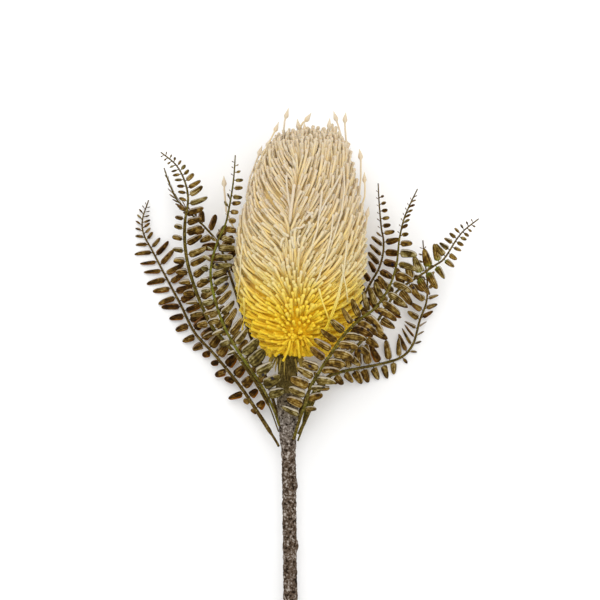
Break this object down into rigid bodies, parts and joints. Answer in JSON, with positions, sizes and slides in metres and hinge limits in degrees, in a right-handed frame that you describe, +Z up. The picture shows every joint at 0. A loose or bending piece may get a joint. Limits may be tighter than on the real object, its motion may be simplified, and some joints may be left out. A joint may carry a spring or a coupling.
{
  "type": "banksia stem",
  "caption": "Cut flower stem lying down, with one oblong head of soft yellow and cream florets, a rough brown stem and fern fronds bound below the head.",
  "frame": {"origin": "on the surface that the stem lies on, at the flat spot that the head rests on", "axes": "+X to the right seen from above, +Y along the stem towards the tip of the head, +Z up from the surface"},
  "size_m": [0.2245, 0.3981, 0.0793],
  "materials": {
    "bark": "matte",
    "neck": "matte",
    "florets": "matte",
    "fern_leaf": "satin"
  },
  "bodies": {
    "root": {"stem": "bark", "receptacle": "neck", "flower_head": "florets", "frond_left_low": "fern_leaf", "frond_left_outer": "fern_leaf", "frond_left_back": "fern_leaf", "frond_left_front": "fern_leaf", "frond_right_back": "fern_leaf", "frond_right_front": "fern_leaf", "frond_right_outer": "fern_leaf", "frond_right_low": "fern_leaf"}
  },
  "joints": []
}
